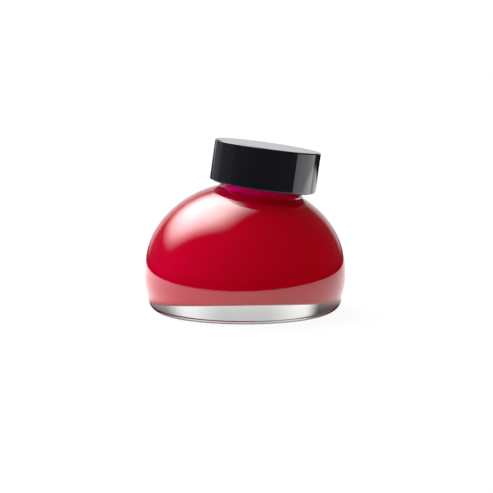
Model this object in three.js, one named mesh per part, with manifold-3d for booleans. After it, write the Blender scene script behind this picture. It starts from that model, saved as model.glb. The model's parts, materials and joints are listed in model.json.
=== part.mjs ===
// A low, domed glass ink bottle with a leaning neck and a two-piece screw cap.
// Millimetres, +Z up. The origin is the middle of the face that the bottle stands on, the neck leans
// towards +X, and -Y is the front. The neck's axis starts at the origin, so every height on the neck
// or the cap is a distance along that axis.

import * as THREE from "three";
import { mergeVertices } from "three/addons/utils/BufferGeometryUtils.js";
import Module from "manifold-3d";

// ---- Driving dimensions ----

const NECK_TILT = THREE.MathUtils.degToRad(8.0);
const GAP = 0.3; // between pieces that touch
const SUNK = 0.2; // how far a ridge or a bar reaches into the wall it stands on

const BODY = {
  radius: 32.5, // at the equator, the widest ring
  equator: 11.8, // height of the widest ring
  rise: 29.3, // from the equator to the top of the full dome
  drop: 27.4, // vertical half axis of the ellipse under the equator
  heel: 2.6, // height where the side rolls under
  recessRadius: 22.0, // push-up under the base, inside the ring it stands on
  recessDepth: 1.0,
};

const CAVITY = {
  radius: 27.3,
  rise: 24.6, // from the equator
  floor: 6.35, // thickness of the solid glass base, whose top is arched across the bottle
  arch: 200.0, // radius of the arch
  crest: 2.6, // the arch's crest lies this far towards +X
};

const NECK = {
  radius: 12.6, // thread root
  bore: 9.75,
  lip: 48.25, // height of the sealing lip
  lipRound: 0.7,
  flare: 2.4, // fillet between the neck and the dome
  flareTop: 40.3,
  flareEnd: THREE.MathUtils.degToRad(252), // where the fillet has sunk into the dome
};

// Both ridges follow one right-hand helix, a turn of 0 lying on the +X side.
const THREAD = {
  pitch: 25.4 / 6, // six threads to the inch
  rootHalf: 1.0, // half widths of the ridge's section
  crestHalf: 0.4,
  neck: { crest: 13.7, height: 41.2, from: 0, turns: 1.25 },
  // The insert's ridge bears on the underside of the neck's.
  insert: { crest: 12.95, height: 39.6, from: 2 / 3, turns: 1 },
};

const CAP = {
  base: 40.12, // height of the open end
  height: 13.12,
  radius: 16.95,
  wall: 1.05,
  topWall: 1.6,
  edgeRound: 0.5,
  recess: 1.15, // the insert's skirt ends this far inside the shell
};

const INSERT = {
  bore: 14.1, // thread root
  radius: 15.0,
  deck: 1.2, // thickness of the disc over the mouth
};

const SPLINES = { count: 12, width: 3.4, insertRadius: 15.5, shellRadius: 15.3 };
const SNAP_BEAD = { radius: 15.25, low: 0.3, high: 0.85 }; // holds the insert in the shell
const LINER = { radius: 13.5, thickness: 1.25 };
const INK_LEVEL = 42.5;

// Fineness of the faceted surfaces.
const ROUND_STEPS = 48;
const THREAD_STEPS = 24; // per turn
const FADE_STEPS = 3; // over which a thread's end dies away
const END_STUB = 0.3; // share of one step's ridge that is left at the very end
const DOME_STEPS = 14;
const ARCH_STEPS = 12;
const ARC_STEPS = 4; // of the small arcs

// ---- Derived heights of the cap stack ----

const capTop = CAP.base + CAP.height;
const shellInner = CAP.radius - CAP.wall;
const ceiling = capTop - CAP.topWall;
const deckTop = ceiling - GAP;
const deckUnderside = deckTop - INSERT.deck;
const insertBase = CAP.base + CAP.recess;
const linerTop = deckUnderside - GAP;
const insideDome = BODY.equator + BODY.rise / 2; // where the neck's shapes end inside the body

// ---- Solids: closed geometries joined and cut with manifold-3d ----

const wasm = await Module();
wasm.setup();

function solid(geometry) {
  const bare = geometry.clone().deleteAttribute("normal").deleteAttribute("uv");
  const merged = mergeVertices(bare, 1e-4);
  return new wasm.Manifold(
    new wasm.Mesh({
      numProp: 3,
      vertProperties: merged.getAttribute("position").array,
      triVerts: new Uint32Array(merged.index.array),
    }),
  );
}

function geometryOf(manifold) {
  const mesh = manifold.getMesh();
  const geometry = new THREE.BufferGeometry();
  geometry.setAttribute("position", new THREE.BufferAttribute(mesh.vertProperties, 3));
  geometry.setIndex(new THREE.BufferAttribute(mesh.triVerts, 1));
  const faceted = geometry.toNonIndexed();
  faceted.computeVertexNormals();
  return faceted;
}

function named(name, manifold, material) {
  const mesh = new THREE.Mesh(geometryOf(manifold), new THREE.MeshStandardMaterial(material));
  mesh.name = name;
  return mesh;
}

// ---- Shapes ----

const point = (radius, height) => new THREE.Vector2(radius, height);

// Points of an elliptic arc in a lathe profile, from one angle to another.
function arc(centre, radiusAcross, radiusUp, from, to, steps) {
  const curve = new THREE.EllipseCurve(
    centre.x, centre.y, radiusAcross, radiusUp, from, to, to < from,
  );
  return curve.getPoints(steps);
}

// A closed round shape about +Z from its profile of (radius, height) points, run from the axis at the
// bottom, round the outside, to the axis at the top.
function turned(profile) {
  return new THREE.LatheGeometry(profile, ROUND_STEPS).rotateX(Math.PI / 2);
}

// A plain disc or plug between two heights.
function disc(radius, low, high) {
  return turned([point(0, low), point(radius, low), point(radius, high), point(0, high)]);
}

// Leans a shape made about +Z onto the axis of the neck.
const leaning = (geometry) => geometry.rotateY(NECK_TILT);

// A screw thread's ridge on a wall about +Z: a trapezoid section swept up the helix, sunk a little
// into its wall, and shrinking to nothing at both ends.
function threadRidge(wallRadius, { crest, height, from, turns }) {
  const steps = Math.round(turns * THREAD_STEPS);
  const sunk = wallRadius - SUNK * Math.sign(crest - wallRadius);
  const positions = [];
  for (let i = 0; i <= steps; i++) {
    const turn = from + i / THREAD_STEPS;
    const angle = 2 * Math.PI * turn;
    const full = Math.min(1, (Math.min(i, steps - i) + END_STUB) / FADE_STEPS);
    const top = THREE.MathUtils.lerp(sunk, crest, full);
    const { rootHalf, crestHalf } = THREAD;
    const section = [[sunk, -rootHalf], [top, -crestHalf], [top, crestHalf], [sunk, rootHalf]];
    for (const [radius, rise] of section) {
      const z = height + THREAD.pitch * turn + rise * full;
      positions.push(radius * Math.cos(angle), radius * Math.sin(angle), z);
    }
  }
  return sweptSkin(positions, steps, crest > wallRadius);
}

// The closed skin of four-sided sections that follow one another.
function sweptSkin(positions, steps, outward) {
  const faces = [];
  const quad = (a, b, c, d) => faces.push(a, b, c, a, c, d);
  for (let i = 0; i < steps; i++)
    for (let side = 0; side < 4; side++) {
      const here = 4 * i + side;
      const next = 4 * i + ((side + 1) % 4);
      quad(here, here + 4, next + 4, next);
    }
  const last = 4 * steps;
  quad(0, 1, 2, 3);
  quad(last, last + 3, last + 2, last + 1);
  if (!outward) faces.reverse();
  const geometry = new THREE.BufferGeometry();
  geometry.setAttribute("position", new THREE.Float32BufferAttribute(positions, 3));
  return geometry.setIndex(faces);
}

// Upright bars round a wall about +Z, from one radius to another. A shift of 0.5 sets them between
// the bars of a shift of 0.
function splines(inner, outer, low, high, shift) {
  const bars = [];
  for (let i = 0; i < SPLINES.count; i++) {
    const angle = (2 * Math.PI * (i + shift)) / SPLINES.count;
    const bar = new THREE.BoxGeometry(outer - inner, SPLINES.width, high - low);
    bar.translate((inner + outer) / 2, 0, (low + high) / 2).rotateZ(angle);
    bars.push(solid(bar));
  }
  return wasm.Manifold.union(bars);
}

// ---- The glass bottle ----

// The flattened dome with its solid heel and the shallow recess under it.
function bodyOutside() {
  const { radius, equator, rise, drop, heel, recessRadius, recessDepth } = BODY;
  const heelAngle = Math.asin((heel - equator) / drop);
  const normal = point(Math.cos(heelAngle) / radius, Math.sin(heelAngle) / drop).normalize();
  const heelRound = heel / (1 + normal.y);
  const heelCentre = point(radius * Math.cos(heelAngle) - heelRound * normal.x, heelRound);
  const middle = point(0, equator);
  return turned([
    ...arc(point(0, 0), recessRadius, recessDepth, Math.PI / 2, 0, ARC_STEPS),
    ...arc(heelCentre, heelRound, heelRound, -Math.PI / 2, normal.angle() - 2 * Math.PI, ARC_STEPS),
    ...arc(middle, radius, drop, heelAngle, 0, ARC_STEPS).slice(1),
    ...arc(middle, radius, rise, 0, Math.PI / 2, DOME_STEPS).slice(1),
  ]);
}

// The glass under the hollow, up to the arch that is the hollow's floor.
function floorArch(inset) {
  const { floor, arch: radius, crest } = CAVITY;
  const spread = Math.asin(BODY.radius / radius);
  const middle = point(crest, floor - radius);
  const outer = radius + inset;
  const ends = [Math.PI / 2 - spread, Math.PI / 2 + spread];
  const shape = new THREE.Shape([
    point(crest - BODY.radius, 0),
    point(crest + BODY.radius, 0),
    ...arc(middle, outer, outer, ...ends, ARCH_STEPS),
  ]);
  const depth = 2 * BODY.radius;
  const slab = new THREE.ExtrudeGeometry(shape, { depth, bevelEnabled: false });
  return slab.rotateX(Math.PI / 2).translate(0, BODY.radius, 0);
}

// The hollow inside the body, made smaller by inset for what fills it.
function bodyInside(inset) {
  const radius = CAVITY.radius - inset;
  const middle = point(0, BODY.equator);
  const well = turned([
    point(0, BODY.recessDepth),
    point(radius, BODY.recessDepth),
    ...arc(middle, radius, CAVITY.rise - inset, 0, Math.PI / 2, DOME_STEPS),
  ]);
  return solid(well).subtract(solid(floorArch(inset)));
}

// The neck's outside, with a fillet that runs out onto the dome.
function neckOutside() {
  const { radius, lip, lipRound, flare, flareTop, flareEnd } = NECK;
  const fillet = arc(point(radius + flare, flareTop), flare, flare, flareEnd, Math.PI, ARC_STEPS);
  const lipCentre = point(radius - lipRound, lip - lipRound);
  return turned([
    point(0, insideDome),
    point(fillet[0].x, insideDome),
    ...fillet,
    ...arc(lipCentre, lipRound, lipRound, 0, Math.PI / 2, ARC_STEPS),
    point(0, lip),
  ]);
}

// The bore of the neck, from inside the body to past the lip or to the given height.
function neckInside(inset, top) {
  return disc(NECK.bore - inset, insideDome, top);
}

function makeBottle() {
  const ridge = threadRidge(NECK.radius, THREAD.neck);
  const glass = solid(bodyOutside())
    .add(solid(leaning(neckOutside())))
    .add(solid(leaning(ridge)))
    .subtract(bodyInside(0))
    .subtract(solid(leaning(neckInside(0, NECK.lip + 1))));
  return named("bottle", glass, { color: 0xe9efec, roughness: 0.03, metalness: 0 });
}

// The ink fills the hollow up into the neck, with a level top.
function makeInk() {
  const ink = bodyInside(GAP)
    .add(solid(leaning(neckInside(GAP, NECK.lip))))
    .intersect(solid(disc(BODY.radius, 0, INK_LEVEL)));
  return named("ink", ink, { color: 0xa00018, roughness: 0.05, metalness: 0 });
}

// ---- The cap and its seal, about +Z until the group leans them over ----

function makeShell() {
  const { base, radius, edgeRound } = CAP;
  const edge = (height, from, to) =>
    arc(point(radius - edgeRound, height), edgeRound, edgeRound, from, to, ARC_STEPS);
  const cup = turned([
    point(0, ceiling),
    point(shellInner, ceiling),
    point(shellInner, base + SNAP_BEAD.high),
    point(SNAP_BEAD.radius, base + SNAP_BEAD.high),
    point(SNAP_BEAD.radius, base + SNAP_BEAD.low),
    point(shellInner, base),
    ...edge(base + edgeRound, -Math.PI / 2, 0),
    ...edge(capTop - edgeRound, 0, Math.PI / 2),
    point(0, capTop),
  ]);
  const sunk = shellInner + SUNK;
  const keys = splines(SPLINES.shellRadius, sunk, insertBase, ceiling + SUNK, 0.5);
  return named("cap_shell", solid(cup).add(keys), { color: 0x141318, roughness: 0.08, metalness: 0 });
}

function makeInsert() {
  const { bore, radius } = INSERT;
  const cup = turned([
    point(0, deckUnderside),
    point(bore, deckUnderside),
    point(bore, insertBase),
    point(radius, insertBase),
    point(radius, deckTop),
    point(0, deckTop),
  ]);
  const keys = splines(radius - SUNK, SPLINES.insertRadius, insertBase, deckTop, 0);
  const ridge = threadRidge(bore, THREAD.insert);
  const insert = solid(cup).add(keys).add(solid(ridge));
  return named("cap_insert", insert, { color: 0x1b1b1d, roughness: 0.5, metalness: 0 });
}

function makeLiner() {
  const liner = solid(disc(LINER.radius, linerTop - LINER.thickness, linerTop));
  return named("seal_liner", liner, { color: 0xe8e6df, roughness: 0.8, metalness: 0 });
}

// ---- The assembly ----

const closure = new THREE.Group();
closure.rotation.y = NECK_TILT;
closure.add(makeShell(), makeInsert(), makeLiner());

const inkBottle = new THREE.Group();
inkBottle.add(makeBottle(), makeInk(), closure);

export default inkBottle;
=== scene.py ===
"""Looks of a domed glass ink bottle with red ink and a glossy black screw cap.

Sizes are in millimetres and turn into metres when a mesh is made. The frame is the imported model's:
+Z up, the neck leans towards +X, -Y is the front. Heights on the neck and the cap are distances
along the neck's axis, which starts at the origin.
"""

import json

import bpy
import numpy as np
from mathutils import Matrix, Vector


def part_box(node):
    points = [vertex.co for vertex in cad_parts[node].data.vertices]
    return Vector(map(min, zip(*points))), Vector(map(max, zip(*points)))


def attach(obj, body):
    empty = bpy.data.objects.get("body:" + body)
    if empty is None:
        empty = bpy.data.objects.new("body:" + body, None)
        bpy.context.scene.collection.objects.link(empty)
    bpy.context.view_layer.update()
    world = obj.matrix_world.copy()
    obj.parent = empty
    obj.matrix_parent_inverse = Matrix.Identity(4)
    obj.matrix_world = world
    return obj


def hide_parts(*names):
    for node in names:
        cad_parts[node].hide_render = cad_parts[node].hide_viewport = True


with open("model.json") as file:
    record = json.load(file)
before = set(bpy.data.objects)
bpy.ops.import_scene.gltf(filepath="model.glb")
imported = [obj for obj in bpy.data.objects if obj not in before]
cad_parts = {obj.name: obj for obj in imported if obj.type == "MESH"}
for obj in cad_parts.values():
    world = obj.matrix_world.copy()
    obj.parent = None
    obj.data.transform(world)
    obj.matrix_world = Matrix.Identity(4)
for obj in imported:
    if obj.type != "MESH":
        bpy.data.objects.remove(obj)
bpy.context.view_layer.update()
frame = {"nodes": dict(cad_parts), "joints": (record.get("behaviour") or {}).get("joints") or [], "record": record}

MM = 0.001
SAFE = 0.02  # keeps round pieces inside the faceted CAD model's box
ROUND = 240  # points round every ring
TURN = np.linspace(0, 2 * np.pi, ROUND, endpoint=False)


# ---- The neck's axis and what the CAD model says about the pieces on it ----

def joint(name):
    return next(j for j in frame["joints"] if j["name"] == name)


AXIS = np.array(joint("cap_turn")["axis"])
AXIS /= np.linalg.norm(AXIS)
ACROSS = np.array([AXIS[2], 0, -AXIS[0]])
SIDE = np.array([0.0, 1.0, 0.0])
LIFT = frame["record"]["behaviour"]["couplings"][0]["ratio"] / MM  # millimetres per radian


def span(node):
    """(largest radius, lowest height, highest height) of a CAD node about the neck's axis."""
    points = np.array([v.co for v in frame["nodes"][node].data.vertices]) / MM
    radii = np.hypot(points @ ACROSS, points @ SIDE)
    heights = points @ AXIS
    return radii.max() - SAFE, heights.min(), heights.max() - SAFE


CAP_RADIUS, CAP_BASE, CAP_TOP = span("cap_shell")
_, INSERT_BASE, INSERT_TOP = span("cap_insert")
LINER_RADIUS, LINER_BASE, LINER_TOP = span("seal_liner")
BODY_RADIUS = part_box("bottle")[1].x / MM
INK_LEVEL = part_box("ink")[1].z / MM


# ---- Driving sizes of the glass, as in the CAD model ----

class Dome:
    """The upper half of a flattened ball about +Z: its widest radius, that ring's height, its rise."""

    def __init__(self, radius, equator, rise):
        self.radius, self.equator, self.rise = radius, equator, rise

    def point(self, unit):
        """The dome's point for a point of the unit ball."""
        scale = np.array([self.radius, self.radius, self.rise])
        return unit * scale + np.array([0, 0, self.equator])

    def outside(self, points):
        """Whether each point lies outside the ball."""
        up = (points[:, 2] - self.equator) / self.rise
        return (points[:, 0] ** 2 + points[:, 1] ** 2) / self.radius**2 + up**2 > 1

    def nearest(self, points):
        """The unit-ball points of the dome's points nearest to these points outside it."""
        out = np.hypot(points[:, 0], points[:, 1])
        up = points[:, 2] - self.equator
        a, b = self.radius, self.rise
        angle = np.arctan2(a * up, b * out)
        for _ in range(NEAREST_ROUNDS):
            cos, sin = np.cos(angle), np.sin(angle)
            slope = (b * sin - up) * b * cos - (a * cos - out) * a * sin
            bend = (a * a - b * b) * (sin * sin - cos * cos) + a * cos * out + b * sin * up
            angle = angle - slope / bend
        flat = points[:, :2] / out[:, None]
        return np.column_stack([flat * np.cos(angle)[:, None], np.sin(angle)])


OUTSIDE = Dome(BODY_RADIUS, 11.8, 29.3)
INSIDE = Dome(27.3, 11.8, 24.6)
DROP = 27.4  # vertical half axis of the ellipse under the equator
HEEL = 2.6  # height where the side rolls under
RECESS_RADIUS, RECESS_DEPTH = 22.0, 1.0
FLOOR, FLOOR_CORNER = 6.35, 1.0
ARCH_RADIUS, ARCH_CREST = 200.0, 2.6  # the hollow's floor is arched across the bottle
NECK_RADIUS, NECK_FILLET = 12.6, 2.4
BORE_RADIUS, BORE_FILLET = 9.75, 1.4
LIP, LIP_ROUND = 48.25, 0.7
WET_GAP = 0.02  # between the glass and the ink's own skin
POLE = 0.1  # radius of the small ring round each end of a piece on the neck's axis

# Steps along each stretch of a skin.
RECESS_STEPS, HEEL_STEPS, SIDE_STEPS, DOME_STEPS = 22, 14, 16, 56
FLOOR_STEPS, CORNER_STEPS, HOLLOW_STEPS, BORE_STEPS, DRY_STEPS = 10, 14, 48, 4, 6
FILLET_STEPS, THREAD_STEPS, LIP_STEPS, CAP_EDGE_STEPS, LINER_EDGE_STEPS = 48, 56, 6, 8, 4
FIRST_SHARE = 0.02  # of the way out, where the first ring of a level stretch stands
INK_TOP_SHARES = (0.95, 0.6, 0.3, 0.05)  # of the way out, for the rings of the ink's top
NEAREST_ROUNDS = 12  # of closing in on a dome's nearest point


# ---- Rings and skins ----

def about_neck(radius, height, turn=TURN):
    """A ring of points about the neck's axis. Radius and height may vary round it."""
    radius, height = np.broadcast_to(radius, turn.shape), np.broadcast_to(height, turn.shape)
    flat = np.outer(radius * np.cos(turn), ACROSS) + np.outer(radius * np.sin(turn), SIDE)
    return flat + np.outer(height, AXIS)


def about_z(radius, height):
    """A level ring of points about +Z."""
    level = np.full(ROUND, float(height))
    return np.column_stack([radius * np.cos(TURN), radius * np.sin(TURN), level])


def arc(centre, radius, start, stop, steps):
    """(radius, height) points on a round arc, in degrees anticlockwise from outward."""
    angles = np.radians(np.linspace(start, stop, steps + 1))
    return [(centre[0] + radius * np.cos(a), centre[1] + radius * np.sin(a)) for a in angles]


def swing(start, stop, share):
    """Unit vectors a share of the way from one set of unit vectors to another."""
    angle = np.arccos(np.clip((start * stop).sum(1), -1, 1))[:, None]
    return (start * np.sin((1 - share) * angle) + stop * np.sin(share * angle)) / np.sin(angle)


def skin(name, rings, slots=None):
    """A closed mesh through rings of points, its ends closed by a point at their middles.

    slots gives the material slot of the band above each ring, and 0 stands for all of them.
    """
    points = [rings[0].mean(0)] + [p for ring in rings for p in ring] + [rings[-1].mean(0)]
    faces, bands = [], []
    around = [(i, (i + 1) % ROUND) for i in range(ROUND)]
    for i, j in around:
        faces.append((0, 1 + j, 1 + i))
        bands.append(0)
    for k in range(len(rings) - 1):
        low, high = 1 + k * ROUND, 1 + (k + 1) * ROUND
        for i, j in around:
            faces.append((low + i, low + j, high + j, high + i))
            bands.append(slots[k] if slots else 0)
    top, last = len(points) - 1, 1 + (len(rings) - 1) * ROUND
    for i, j in around:
        faces.append((last + i, last + j, top))
        bands.append(0)
    mesh = bpy.data.meshes.new(name)
    mesh.from_pydata(np.array(points) * MM, [], faces)
    mesh.polygons.foreach_set("material_index", bands)
    mesh.polygons.foreach_set("use_smooth", [True] * len(faces))
    mesh.validate()
    piece = bpy.data.objects.new(name, mesh)
    bpy.context.scene.collection.objects.link(piece)
    return piece


def dress(piece, body, node, slot, *materials):
    """Puts a piece on its body in place of its CAD node, with its materials."""
    for each in materials:
        piece.data.materials.append(each)
    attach(piece, body)
    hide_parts(node)
    return piece


# ---- Screw threads ----

# Each screw ridge has its height at turn 0, its first turn, its turns, its half width and its depth.
NECK_THREAD = {"start": 41.2, "first": 0, "turns": 1.25, "width": 0.85, "depth": 1.1}
INSERT_THREAD = {"start": 39.6, "first": 2 / 3, "turns": 1, "width": 0.7, "depth": 1.15}
THREAD_LAPS = 3  # covers the turns of both threads
THREAD_FADE = 0.1  # of a turn, over which a ridge rises at its ends


def block(offset, half_width):
    """1 in the middle of a stretch and 0 outside it, with rounded shoulders."""
    return np.exp(-((offset / half_width) ** 4))


def thread_rise(height, thread):
    """How far a screw ridge stands out at each point of a ring: a rounded ridge on a helix."""
    first, last = thread["first"], thread["first"] + thread["turns"]
    total = np.zeros(ROUND)
    for lap in range(THREAD_LAPS):
        turned = TURN / (2 * np.pi) + lap
        offset = height - (thread["start"] + LIFT * 2 * np.pi * turned)
        fade = np.clip(np.minimum(turned - first, last - turned) / THREAD_FADE, 0, 1)
        total = np.maximum(total, fade * block(offset, thread["width"]))
    return thread["depth"] * total


# ---- The shoulder: a dome running through a fillet into a leaning tube ----

HALVINGS = 40  # closes in on where the rolling ball touches
BEAD_HEIGHT = 0.25  # of two shallow beads in the neck's fillet
BEAD_PLACES, BEAD_HALF_WIDTH = (0.3, 0.7), 0.1  # shares of the way up the fillet
BEAD_START, BEAD_LENGTH, BEAD_FADE = 20, 300, 40  # degrees round the neck


def bead(share):
    """How far the beads stand out round the fillet, a share of the way up it."""
    turned = np.degrees(TURN - np.radians(BEAD_START)) % 360
    ends = np.clip(np.minimum(turned / BEAD_FADE, (BEAD_LENGTH - turned) / BEAD_FADE), 0, 1)
    across = sum(block(share - place, BEAD_HALF_WIDTH) for place in BEAD_PLACES)
    return BEAD_HEIGHT * ends[:, None] * across


def smooth(share):
    """A fillet with no bead."""
    return 0.0


def shoulder(dome, tube, fillet, steps, ridge):
    """Rings from the dome's equator up to the tube, and the tube's height where the fillet ends.

    A ball of the fillet's radius rolls round the tube on the dome, and the fillet is its track.
    """
    low, high = np.full(ROUND, dome.equator), np.full(ROUND, dome.equator + 2 * dome.rise)
    for _ in range(HALVINGS):
        height = (low + high) / 2
        ball = about_neck(tube + fillet, height)
        touch = dome.nearest(ball)
        clear = dome.outside(ball) & (np.linalg.norm(ball - dome.point(touch), axis=1) > fillet)
        low, high = np.where(clear, low, height), np.where(clear, height, high)
    equator = np.column_stack([np.cos(TURN), np.sin(TURN), np.zeros(ROUND)])
    rings = [dome.point(swing(equator, touch, k / steps)) for k in range(steps + 1)]
    start = (rings[-1] - ball) / fillet
    stop = (about_neck(tube, height) - ball) / fillet
    for share in np.linspace(0, 1, FILLET_STEPS + 1)[1:]:
        rings.append(ball + (fillet - ridge(share)) * swing(start, stop, share))
    return rings, height


def climb(radius, start, stop, steps):
    """Rings up a tube from a height that may vary round it to a level one."""
    shares = np.linspace(0, 1, steps + 1)[1:]
    heights = [start + (stop - start) * share for share in shares]
    return [about_neck(radius(h) if callable(radius) else radius, h) for h in heights]


# ---- The bottle and its ink ----

def underside():
    """Rings from the middle of the base out over the recess and the heel, up to the equator."""
    rings = []
    for share in np.linspace(FIRST_SHARE, 1, RECESS_STEPS):
        rise = RECESS_DEPTH * np.sqrt(max(0.0, 1 - share**2))
        rings.append(about_z(RECESS_RADIUS * share, rise))
    lowest = np.arcsin((HEEL - OUTSIDE.equator) / DROP)
    slope = np.arctan2(np.sin(lowest) / DROP, np.cos(lowest) / BODY_RADIUS)
    rounding = HEEL / (1 + np.sin(slope))
    centre = (BODY_RADIUS * np.cos(lowest) - rounding * np.cos(slope), rounding)
    heel = arc(centre, rounding, -90, np.degrees(slope), HEEL_STEPS)
    rings.append(about_z((RECESS_RADIUS + heel[0][0]) / 2, 0))
    rings += [about_z(*p) for p in heel]
    for angle in np.linspace(lowest, 0, SIDE_STEPS)[1:-1]:
        rings.append(about_z(BODY_RADIUS * np.cos(angle), OUTSIDE.equator + DROP * np.sin(angle)))
    return rings


def level_height(radius, level):
    """Height along the neck's axis, round a tube's wall, where it meets a level plane."""
    return (level + radius * np.cos(TURN) * AXIS[0]) / AXIS[2]


def hollow(inset):
    """Rings of the hollow from its floor's middle up to where the ink ends in the bore."""
    radius, floor = INSIDE.radius - inset, FLOOR + inset
    corner = FLOOR_CORNER - inset
    centre = (INSIDE.radius - FLOOR_CORNER, FLOOR + FLOOR_CORNER)
    shares = np.linspace(FIRST_SHARE, 1 - FIRST_SHARE, FLOOR_STEPS)
    rings = [about_z(centre[0] * share, floor) for share in shares]
    rings += [about_z(*p) for p in arc(centre, corner, -90, 0, CORNER_STEPS)]
    for ring in rings:
        ring[:, 2] -= (ring[:, 0] - ARCH_CREST) ** 2 / (2 * ARCH_RADIUS)
    dome = Dome(radius, INSIDE.equator, INSIDE.rise - inset)
    upper, height = shoulder(dome, BORE_RADIUS - inset, BORE_FILLET, HOLLOW_STEPS, smooth)
    bore = BORE_RADIUS - inset
    rings += upper + climb(bore, height, level_height(bore, INK_LEVEL), BORE_STEPS)
    return rings


def neck_wall(height):
    """The neck's radius with its screw thread."""
    return NECK_RADIUS + thread_rise(height, NECK_THREAD)


def make_bottle():
    upper, height = shoulder(OUTSIDE, NECK_RADIUS, NECK_FILLET, DOME_STEPS, bead)
    rings = underside() + upper
    rings += climb(neck_wall, height, LIP - LIP_ROUND, THREAD_STEPS)
    top = LIP - LIP_ROUND
    lip = arc((NECK_RADIUS - LIP_ROUND, top), LIP_ROUND, 0, 90, LIP_STEPS)
    lip += arc((BORE_RADIUS + LIP_ROUND, top), LIP_ROUND, 90, 180, LIP_STEPS)
    rings += [about_neck(*p) for p in lip]
    inner = hollow(0)
    dry = climb(BORE_RADIUS, level_height(BORE_RADIUS, INK_LEVEL), top, DRY_STEPS)[:-1]
    rings += dry[::-1]
    slots = [0] * len(rings) + [1] * len(inner)
    rings += inner[::-1]
    piece = skin("glass_bottle", rings, slots[:-1])
    close_wet_floor(piece)
    return piece


def close_wet_floor(piece):
    """Gives the fan in the middle of the hollow's floor the wetted glass too."""
    for face in piece.data.polygons[-ROUND:]:
        face.material_index = 1


def make_ink():
    rings = hollow(WET_GAP)
    bore = BORE_RADIUS - WET_GAP
    middle = np.array([AXIS[0] / AXIS[2] * INK_LEVEL, 0, INK_LEVEL])
    rim = rings[-1]
    rings += [middle + (rim - middle) * share for share in INK_TOP_SHARES]
    return skin("ink_fill", rings)


# ---- The cap ----

SHELL_WALL, SHELL_TOP, SHELL_EDGE = 1.05, 1.6, 0.5
RIM_SLOPE, RIM_RISE = 0.1, 0.02  # a fine bevel inside the rim
SNAP_RADIUS, SNAP_LOW, SNAP_HIGH = 15.25, 0.3, 0.85  # a snap bead that holds the insert
KEYS, KEY_WIDTH, KEY_ROUNDING = 12, 3.4, 0.25  # splines that turn the insert with the shell
KEY_END = 0.05  # the shell's splines run in over this height
SHELL_KEY, INSERT_KEY = 15.3, 15.5  # radii the splines reach to
INSERT_BORE, INSERT_WALL, INSERT_DECK = 14.1, 15.0, 1.2
BEVEL = 0.2  # on the insert's edges, and beside each rounded edge of the shell
LINER_EDGE = 0.15


def keyed(wall, reach, shift):
    """A wall's radius round a ring with a spline reaching out or in at every twelfth of a turn."""
    step = 2 * np.pi / KEYS
    off = np.abs((TURN - shift * step + step / 2) % step - step / 2) * wall
    share = np.clip((KEY_WIDTH / 2 - off) / KEY_ROUNDING + 0.5, 0, 1)
    return wall + (reach - wall) * share


def make_shell():
    inner, edge = CAP_RADIUS - SHELL_WALL, SHELL_EDGE
    ceiling = CAP_TOP - SHELL_TOP
    splined = keyed(inner, SHELL_KEY, 0.5)
    rings = [(POLE, ceiling), (splined, ceiling)]
    rings += [(splined, INSERT_BASE + KEY_END), (inner, INSERT_BASE)]
    rings += [(inner, CAP_BASE + SNAP_HIGH), (SNAP_RADIUS, CAP_BASE + SNAP_HIGH)]
    rings += [(SNAP_RADIUS, CAP_BASE + SNAP_LOW), (inner, CAP_BASE + RIM_RISE)]
    rings += [(inner + RIM_SLOPE, CAP_BASE)]
    rings += arc((CAP_RADIUS - edge, CAP_BASE + edge), edge, -90, 0, CAP_EDGE_STEPS)
    rings += [(CAP_RADIUS, CAP_BASE + edge + BEVEL), (CAP_RADIUS, CAP_TOP - edge - BEVEL)]
    rings += arc((CAP_RADIUS - edge, CAP_TOP - edge), edge, 0, 90, CAP_EDGE_STEPS)
    rings += [(CAP_RADIUS - edge - BEVEL, CAP_TOP), (POLE, CAP_TOP)]
    return skin("cap_outer", [about_neck(*p) for p in rings])


def insert_wall(height):
    """The insert's bore with its screw thread standing inwards."""
    return INSERT_BORE - thread_rise(height, INSERT_THREAD)


def make_insert():
    under, outer = INSERT_TOP - INSERT_DECK, keyed(INSERT_WALL, INSERT_KEY, 0)
    rings = [about_neck(POLE, under), about_neck(INSERT_BORE, under)]
    rings += climb(insert_wall, under, INSERT_BASE + BEVEL / 2, THREAD_STEPS)
    rings += [about_neck(INSERT_BORE + BEVEL, INSERT_BASE), about_neck(outer - BEVEL, INSERT_BASE)]
    rings += [about_neck(outer, INSERT_BASE + BEVEL), about_neck(outer, INSERT_TOP - BEVEL)]
    rings += [about_neck(outer - BEVEL, INSERT_TOP), about_neck(POLE, INSERT_TOP)]
    return skin("cap_inner", rings)


def make_liner():
    edge = LINER_EDGE
    rings = [(POLE, LINER_BASE)]
    rings += arc((LINER_RADIUS - edge, LINER_BASE + edge), edge, -90, 0, LINER_EDGE_STEPS)
    rings += arc((LINER_RADIUS - edge, LINER_TOP - edge), edge, 0, 90, LINER_EDGE_STEPS)
    rings += [(POLE, LINER_TOP)]
    return skin("liner_disc", [about_neck(*p) for p in rings])


# ---- Node helpers ----

def object_place(tree):
    """A position fixed to the object, in metres."""
    return tree.nodes.new("ShaderNodeTexCoord").outputs["Object"]


def maths(tree, operation, *inputs):
    """A Math node's output from numbers and other outputs."""
    node = tree.nodes.new("ShaderNodeMath")
    node.operation = operation
    for socket, value in zip(node.inputs, inputs):
        if isinstance(value, (int, float)):
            socket.default_value = value
        else:
            tree.links.new(value, socket)
    return node.outputs[0]


def ramp(tree, value, low, high):
    """Smoothly 0 below low and 1 above high, or the other way round where low is the larger."""
    node = tree.nodes.new("ShaderNodeMapRange")
    node.interpolation_type = "SMOOTHSTEP"
    tree.links.new(value, node.inputs["Value"])
    first, second = (low, high) if low < high else (high, low)
    node.inputs["From Min"].default_value = first
    node.inputs["From Max"].default_value = second
    node.inputs["To Min"].default_value = float(low > high)
    node.inputs["To Max"].default_value = float(low < high)
    return node.outputs["Result"]


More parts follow.
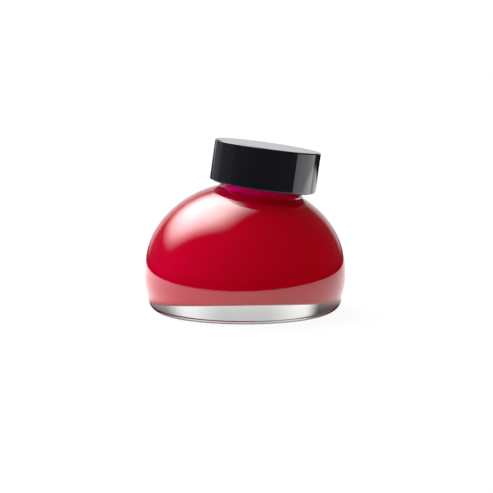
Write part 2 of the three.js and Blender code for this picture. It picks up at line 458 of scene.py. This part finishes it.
def along(tree, vector, way):
    """How much of a vector output lies along a fixed direction."""
    node = tree.nodes.new("ShaderNodeVectorMath")
    node.operation = "DOT_PRODUCT"
    tree.links.new(vector, node.inputs[0])
    node.inputs[1].default_value = way
    return node.outputs["Value"]


def distance(tree, place, centre):
    """How far a position output is from a point, in metres."""
    node = tree.nodes.new("ShaderNodeVectorMath")
    node.operation = "DISTANCE"
    tree.links.new(place, node.inputs[0])
    node.inputs[1].default_value = centre
    return node.outputs["Value"]


def choose(tree, share, first, second):
    """A value between two, the second where share is 1."""
    node = tree.nodes.new("ShaderNodeMix")
    for socket, value in zip(node.inputs[0:1] + node.inputs[2:4], (share, first, second)):
        if isinstance(value, (int, float)):
            socket.default_value = value
        else:
            tree.links.new(value, socket)
    return node.outputs[0]


def mix_by(tree, share, first, second):
    """A colour between two, the second where share is 1."""
    node = tree.nodes.new("ShaderNodeMix")
    node.data_type = "RGBA"
    for socket, value in ((node.inputs[0], share), (node.inputs[6], first), (node.inputs[7], second)):
        if isinstance(value, tuple):
            socket.default_value = value
        else:
            tree.links.new(value, socket)
    return node.outputs[2]


# ---- Directions ----

def direction(azimuth, elevation):
    """A unit vector from degrees: azimuth runs from +Y towards +X."""
    a, e = np.radians(azimuth), np.radians(elevation)
    return Vector((np.cos(e) * np.sin(a), np.cos(e) * np.cos(a), np.sin(e)))


# ---- Materials: counts are blotches to the metre, heights are in metres ----

GLASS_WAVES, WAVE_HEIGHT = 90, 0.000008
FOAM_BLOTCHES, CELLS, CELL_DEPTH = 900, 2200, 0.0001
GLASS_IOR, INK_IOR = 1.52, 1.33
GLASS_TINT = (0.96, 0.985, 0.975)
WET_SHEEN = (0.4, 0.0, 0.05)  # tints what the wetted glass mirrors, to keep the ink red
GLOSS_BLACK, MATTE_BLACK = (0.0148, 0.0138, 0.0195), (0.02, 0.02, 0.021)


def material(name, **sockets):
    """A material whose Principled shader has these socket values, with its tree and shader."""
    made = bpy.data.materials.new(name)
    made.use_nodes = True
    shader = made.node_tree.nodes["Principled BSDF"]
    for socket, value in sockets.items():
        shader.inputs[socket.replace("_", " ")].default_value = value
    return made, made.node_tree, shader


def grain(tree, scale, detail):
    """Smooth noise fixed to the object, with about this many blotches to the metre."""
    noise = tree.nodes.new("ShaderNodeTexNoise")
    tree.links.new(object_place(tree), noise.inputs["Vector"])
    noise.inputs["Scale"].default_value = scale
    noise.inputs["Detail"].default_value = detail
    return noise.outputs["Fac"]


def vary(tree, value, low, high, socket):
    """Feeds a socket from low to high with a value from 0 to 1."""
    node = tree.nodes.new("ShaderNodeMapRange")
    tree.links.new(value, node.inputs["Value"])
    node.inputs["To Min"].default_value, node.inputs["To Max"].default_value = low, high
    tree.links.new(node.outputs["Result"], socket)


def emboss(tree, shader, value, height):
    """Makes a value's highs stand this many metres proud of its lows."""
    bump = tree.nodes.new("ShaderNodeBump")
    bump.inputs["Strength"].default_value = 1.0
    bump.inputs["Distance"].default_value = height
    tree.links.new(value, bump.inputs["Height"])
    tree.links.new(bump.outputs["Normal"], shader.inputs["Normal"])


def glass_material(name, ior, tint, sheen_tint):
    """Pressed glass with the faint waviness of its mould."""
    made, tree, shader = material(
        name, Base_Color=(*tint, 1), Roughness=0.0, IOR=ior, Transmission_Weight=1.0,
        Specular_Tint=(*sheen_tint, 1),
    )
    emboss(tree, shader, grain(tree, GLASS_WAVES, 1), WAVE_HEIGHT)
    return made


# The neck colour is painted light: a brighter magenta that stands for light through the thin ink in the neck and
# makes up for the shade under the cap.
INK_BODY, INK_NECK_PAINTED_LIGHT = (0.56, 0.0, 0.009, 1), (1.0, 0.0, 0.1, 1)
NECK_FOOT = (0.034, 0.04)  # metres up, between which the ink turns from its own red to the painted magenta light
INK_CLARITY = 0.25


def ink_material():
    """Deep red ink, mostly opaque, painted a brighter magenta up in the neck: painted light that stands for light
    shining through the thin ink there and lifts the ink the cap shades.
    """
    made, tree, shader = material(
        "red_ink", Roughness=0.0, IOR=1.0, Transmission_Weight=INK_CLARITY
    )
    up = along(tree, object_place(tree), (0, 0, 1))
    colour = mix_by(tree, ramp(tree, up, *NECK_FOOT), INK_BODY, INK_NECK_PAINTED_LIGHT)
    tree.links.new(colour, shader.inputs["Base Color"])
    return made


def plastic_material(name, colour, gloss, scale, relief):
    """Moulded plastic: gloss is its lowest and highest roughness, relief the depth of its grain."""
    made, tree, shader = material(name, Base_Color=(*colour, 1), IOR=1.5)
    vary(tree, grain(tree, scale, 4), *gloss, shader.inputs["Roughness"])
    emboss(tree, shader, grain(tree, scale * 3, 2), relief)
    return made


def foam_material():
    """White foam with small open cells and uneven gloss."""
    made, tree, shader = material("white_foam", Base_Color=(0.8, 0.79, 0.75, 1), IOR=1.45)
    vary(tree, grain(tree, FOAM_BLOTCHES, 3), 0.55, 0.85, shader.inputs["Roughness"])
    cells = tree.nodes.new("ShaderNodeTexVoronoi")
    cells.inputs["Scale"].default_value = CELLS
    tree.links.new(object_place(tree), cells.inputs["Vector"])
    emboss(tree, shader, cells.outputs["Distance"], CELL_DEPTH)
    return made


def make_pieces():
    glass = glass_material("clear_glass", GLASS_IOR, GLASS_TINT, (1, 1, 1))
    wet = glass_material("wet_glass", round(GLASS_IOR / INK_IOR, 3), (1, 1, 1), WET_SHEEN)
    dress(make_bottle(), "bottle", "bottle", "clear_glass", glass, wet)
    dress(make_ink(), "bottle", "ink", "red_ink", ink_material())
    gloss = plastic_material("black_gloss", GLOSS_BLACK, (0.035, 0.075), 300, 0.000001)
    dress(make_shell(), "cap", "cap_shell", "black_gloss", gloss)
    matte = plastic_material("black_matte", MATTE_BLACK, (0.32, 0.5), 1200, 0.00001)
    dress(make_insert(), "cap", "cap_insert", "black_matte", matte)
    dress(make_liner(), "seal", "seal_liner", "white_foam", foam_material())


# ---- Camera ----

SENSOR, LENS = 36.0, 115.16
CAMERA_PLACE = (0.00051, -0.5, 0.085)
LOOK_DOWN = 7.36  # degrees


def make_camera():
    data = bpy.data.cameras.new("camera")
    data.sensor_width, data.lens = SENSOR, LENS
    camera = bpy.data.objects.new("camera", data)
    camera.location = CAMERA_PLACE
    camera.rotation_euler = (np.radians(90 - LOOK_DOWN), 0, 0)
    bpy.context.scene.collection.objects.link(camera)
    bpy.context.scene.camera = camera


# ---- The studio around the bottle ----

# Behind the glass: a grey middle, paler sides, and darker ends, as light from the surroundings and as painted
# shade on the floor. Limits are sideways shares of the view.
MIDDLE, PALER = 0.6, 0.36
PALE_FROM, RIGHT_END, LEFT_END = (0.12, 0.42), (0.42, 0.7), (-0.44, -0.6)
RIGHT_DARK, LEFT_DARK = 0.7, 0.88
# The softbox: where it faces from, how its glow fades across and upward, and its strength.
BOX_FACING, BOX_RIGHT = direction(-50, 55), direction(40, 0)
BOX_ACROSS, BOX_UPWARD, BOX_STRENGTH = (0.72, 0.1), (0.82, 0.1), 12.5
BACK_FROM, BACK_STRENGTH = (0.8, 0.95), 0.8
AMBIENT = 0.02
BEHIND = (-0.05, 0.35)  # how far back a way through the glass points, from not behind to behind
# The light that reaches the ink: an even part, and a blue one from the left that turns it pinker.
INK_SIDE, INK_SIDE_FROM = direction(-95, 5), (0.6, 1.0)
INK_EVEN, INK_LEFT, LEFT_TINT = 1.2, 6.5, (1, 1, 5.5, 1)


def seen_level(tree, sideways):
    """How bright the surroundings stand behind the glass, for -1 on the left to 1 on the right."""
    aside = maths(tree, "ABSOLUTE", sideways)
    paler = maths(tree, "MULTIPLY", ramp(tree, aside, *PALE_FROM), PALER)
    right = maths(tree, "MULTIPLY", ramp(tree, sideways, *RIGHT_END), RIGHT_DARK)
    left = maths(tree, "MULTIPLY", ramp(tree, sideways, *LEFT_END), LEFT_DARK)
    darker = maths(tree, "ADD", right, left)
    return maths(tree, "SUBTRACT", maths(tree, "ADD", MIDDLE, paler), darker)


def softbox(tree, look):
    """A big soft lamp up on the left, brightest in its middle."""
    top = BOX_FACING.cross(BOX_RIGHT)
    ahead = maths(tree, "MAXIMUM", along(tree, look, BOX_FACING), 0.01)
    fades = []
    for side, limits in ((BOX_RIGHT, BOX_ACROSS), (top, BOX_UPWARD)):
        off = maths(tree, "ABSOLUTE", maths(tree, "DIVIDE", along(tree, look, side), ahead))
        fades.append(ramp(tree, off, *limits))
    return maths(tree, "MULTIPLY", maths(tree, "MULTIPLY", *fades), BOX_STRENGTH)


def mirrored_room(tree, look):
    """The dark room with the softbox and a pale back wall that glass and plastic mirror."""
    back = ramp(tree, along(tree, look, direction(0, 0)), *BACK_FROM)
    wall = maths(tree, "MULTIPLY", back, BACK_STRENGTH)
    return maths(tree, "ADD", maths(tree, "ADD", softbox(tree, look), wall), AMBIENT)


def room_through_glass(tree, look):
    """The grey and pale surroundings that show behind the clear base."""
    behind = ramp(tree, along(tree, look, (0, 1, 0)), *BEHIND)
    return maths(tree, "MULTIPLY", seen_level(tree, along(tree, look, (1, 0, 0))), behind)


def make_world():
    """A studio that is white looked at directly, and differs in mirrors, through glass and in ink."""
    world = bpy.data.worlds.new("studio")
    bpy.context.scene.world = world
    world.use_nodes = True
    tree = world.node_tree
    look = tree.nodes.new("ShaderNodeTexCoord").outputs["Generated"]
    paths = tree.nodes.new("ShaderNodeLightPath").outputs
    through = paths["Is Transmission Ray"]
    in_ink = maths(tree, "MINIMUM", paths["Diffuse Depth"], 1.0)
    left = ramp(tree, along(tree, look, INK_SIDE), *INK_SIDE_FROM)
    ink_light = maths(tree, "ADD", INK_EVEN, maths(tree, "MULTIPLY", left, INK_LEFT))
    inside = choose(tree, in_ink, room_through_glass(tree, look), ink_light)
    level = choose(tree, through, mirrored_room(tree, look), inside)
    tinted = maths(tree, "MULTIPLY", maths(tree, "MULTIPLY", in_ink, left), through)
    background = tree.nodes["Background"]
    tree.links.new(mix_by(tree, tinted, (1, 1, 1, 1), LEFT_TINT), background.inputs["Color"])
    strength = maths(tree, "MAXIMUM", level, paths["Is Camera Ray"])
    tree.links.new(strength, background.inputs["Strength"])


# ---- Floor: distances in metres from the middle of the bottle's foot ----

FLOOR_SIZE = 6.0
FLOOR_GLOW = 0.95  # share of the sheet's look that is its own glow
# In mirrors the floor shows a painted pool of light round this middle and edge, with painted shade close to the
# foot.
LIT_MIDDLE, LIT_EDGE = (0.02, 0.12, 0), (0.21, 0.19)
FOOT_SHADE_EDGE = (0.031, 0.042)
MIRROR_LEVEL, MIRROR_FALL = 2.1, 4.0  # painted brightness in the middle, and lost for each metre to the right
# Seen through the glass the floor glows in painted shade beyond this edge under the base.
BASE_EDGE = (0.03, 0.026)
NEAREST = 0.02  # keeps a sideways share in bounds close to the middle


def mirrored_painted_pool(tree, place, far):
    """How bright glass and plastic mirror the floor: a painted pool of light on a round part of it, with painted
    shade close to the foot and fading to the right.
    """
    lit = ramp(tree, distance(tree, place, LIT_MIDDLE), *LIT_EDGE)
    lit = maths(tree, "MULTIPLY", lit, ramp(tree, far, *FOOT_SHADE_EDGE))
    lost = maths(tree, "MULTIPLY", along(tree, place, (1, 0, 0)), MIRROR_FALL)
    return maths(tree, "MULTIPLY", lit, maths(tree, "SUBTRACT", MIRROR_LEVEL, lost))


def floor_through_glass(tree, place, far, in_ink):
    """How bright the floor stands behind the glass: white under the base and for the ink, and elsewhere a painted
    grey pattern of shade with paler sides and darker ends.
    """
    sideways = maths(
        tree, "DIVIDE", along(tree, place, (1, 0, 0)), maths(tree, "MAXIMUM", far, NEAREST)
    )
    white = maths(tree, "MAXIMUM", in_ink, ramp(tree, far, *BASE_EDGE))
    return choose(tree, white, seen_level(tree, sideways), 1.0)


def make_floor():
    """A wide white sheet that mostly glows by itself, which keeps its shadows faint. Looked at directly it is
    plain white; glass and plastic mirror a painted pool of light on it with painted shade close to the foot, and
    through the glass it glows in a painted grey pattern beyond the base.
    """
    bpy.ops.mesh.primitive_grid_add(x_subdivisions=8, y_subdivisions=8, size=FLOOR_SIZE)
    floor = bpy.context.object
    floor.name = "floor"
    made, tree, shader = material("paper", Base_Color=(0.9, 0.9, 0.9, 1), Roughness=0.9)
    place = object_place(tree)
    far = distance(tree, place, (0, 0, 0))
    paths = tree.nodes.new("ShaderNodeLightPath").outputs
    through = paths["Is Transmission Ray"]
    mirrored = maths(tree, "SUBTRACT", paths["Is Glossy Ray"], through)
    in_ink = maths(tree, "MINIMUM", paths["Diffuse Depth"], 1.0)
    direct = choose(tree, through, 1.0, floor_through_glass(tree, place, far, in_ink))
    glow = tree.nodes.new("ShaderNodeEmission")
    level = choose(tree, mirrored, direct, mirrored_painted_pool(tree, place, far))
    tree.links.new(level, glow.inputs["Strength"])
    mixed = tree.nodes.new("ShaderNodeMixShader")
    tree.links.new(maths(tree, "MAXIMUM", mirrored, FLOOR_GLOW), mixed.inputs[0])
    tree.links.new(shader.outputs[0], mixed.inputs[1])
    tree.links.new(glow.outputs[0], mixed.inputs[2])
    tree.links.new(mixed.outputs[0], tree.nodes["Material Output"].inputs["Surface"])
    floor.data.materials.append(made)


# ---- Cards that only the cap mirrors ----

# Each card's name, middle and facing, with its width, height and power.
CARDS = (
    ("right_card", (0.092, -0.001, 0.027), (-0.995, 0.0, 0), 0.09, 0.05, 0.0265),
    ("edge_card", (0.09, -0.02, 0.027), (-0.95, 0.25, 0), 0.003, 0.05, 0.0003),
    ("left_card", (-0.0775, 0.0195, 0.05), (1, -0.25, 0), 0.12, 0.06, 0.0014),
    ("far_left_card", (-0.06, 0.045, 0.05), (1, -0.75, 0), 0.05, 0.06, 0.0014),
)


def make_card(name, cap, middle, facing, width, height, power):
    """A glowing upright card beside the bottle that only the cap mirrors."""
    data = bpy.data.lights.new(name, "AREA")
    data.shape, data.size, data.size_y, data.energy = "RECTANGLE", width, height, power
    card = bpy.data.objects.new(name, data)
    card.location = middle
    card.rotation_euler = Vector(facing).to_track_quat("-Z", "Y").to_euler()
    card.visible_camera = False
    card.visible_transmission = False
    card.light_linking.receiver_collection = cap
    bpy.context.scene.collection.objects.link(card)


def make_cards():
    """The grey flanks of the cap: bright cards on the right and dim ones on the left."""
    cap = bpy.data.collections.new("cap_receivers")
    cap.objects.link(bpy.data.objects["cap_outer"])
    for name, middle, facing, width, height, power in CARDS:
        make_card(name, cap, middle, facing, width, height, power)


def set_tracing():
    """Enough bounces for light caught in thick glass, and plain sRGB colours."""
    scene = bpy.context.scene
    scene.view_settings.view_transform = "Standard"
    scene.cycles.max_bounces = 40
    scene.cycles.transmission_bounces = 40
    scene.cycles.glossy_bounces = 24


make_camera()
make_world()
make_floor()
set_tracing()
make_pieces()
make_cards()

bpy.context.view_layer.update()
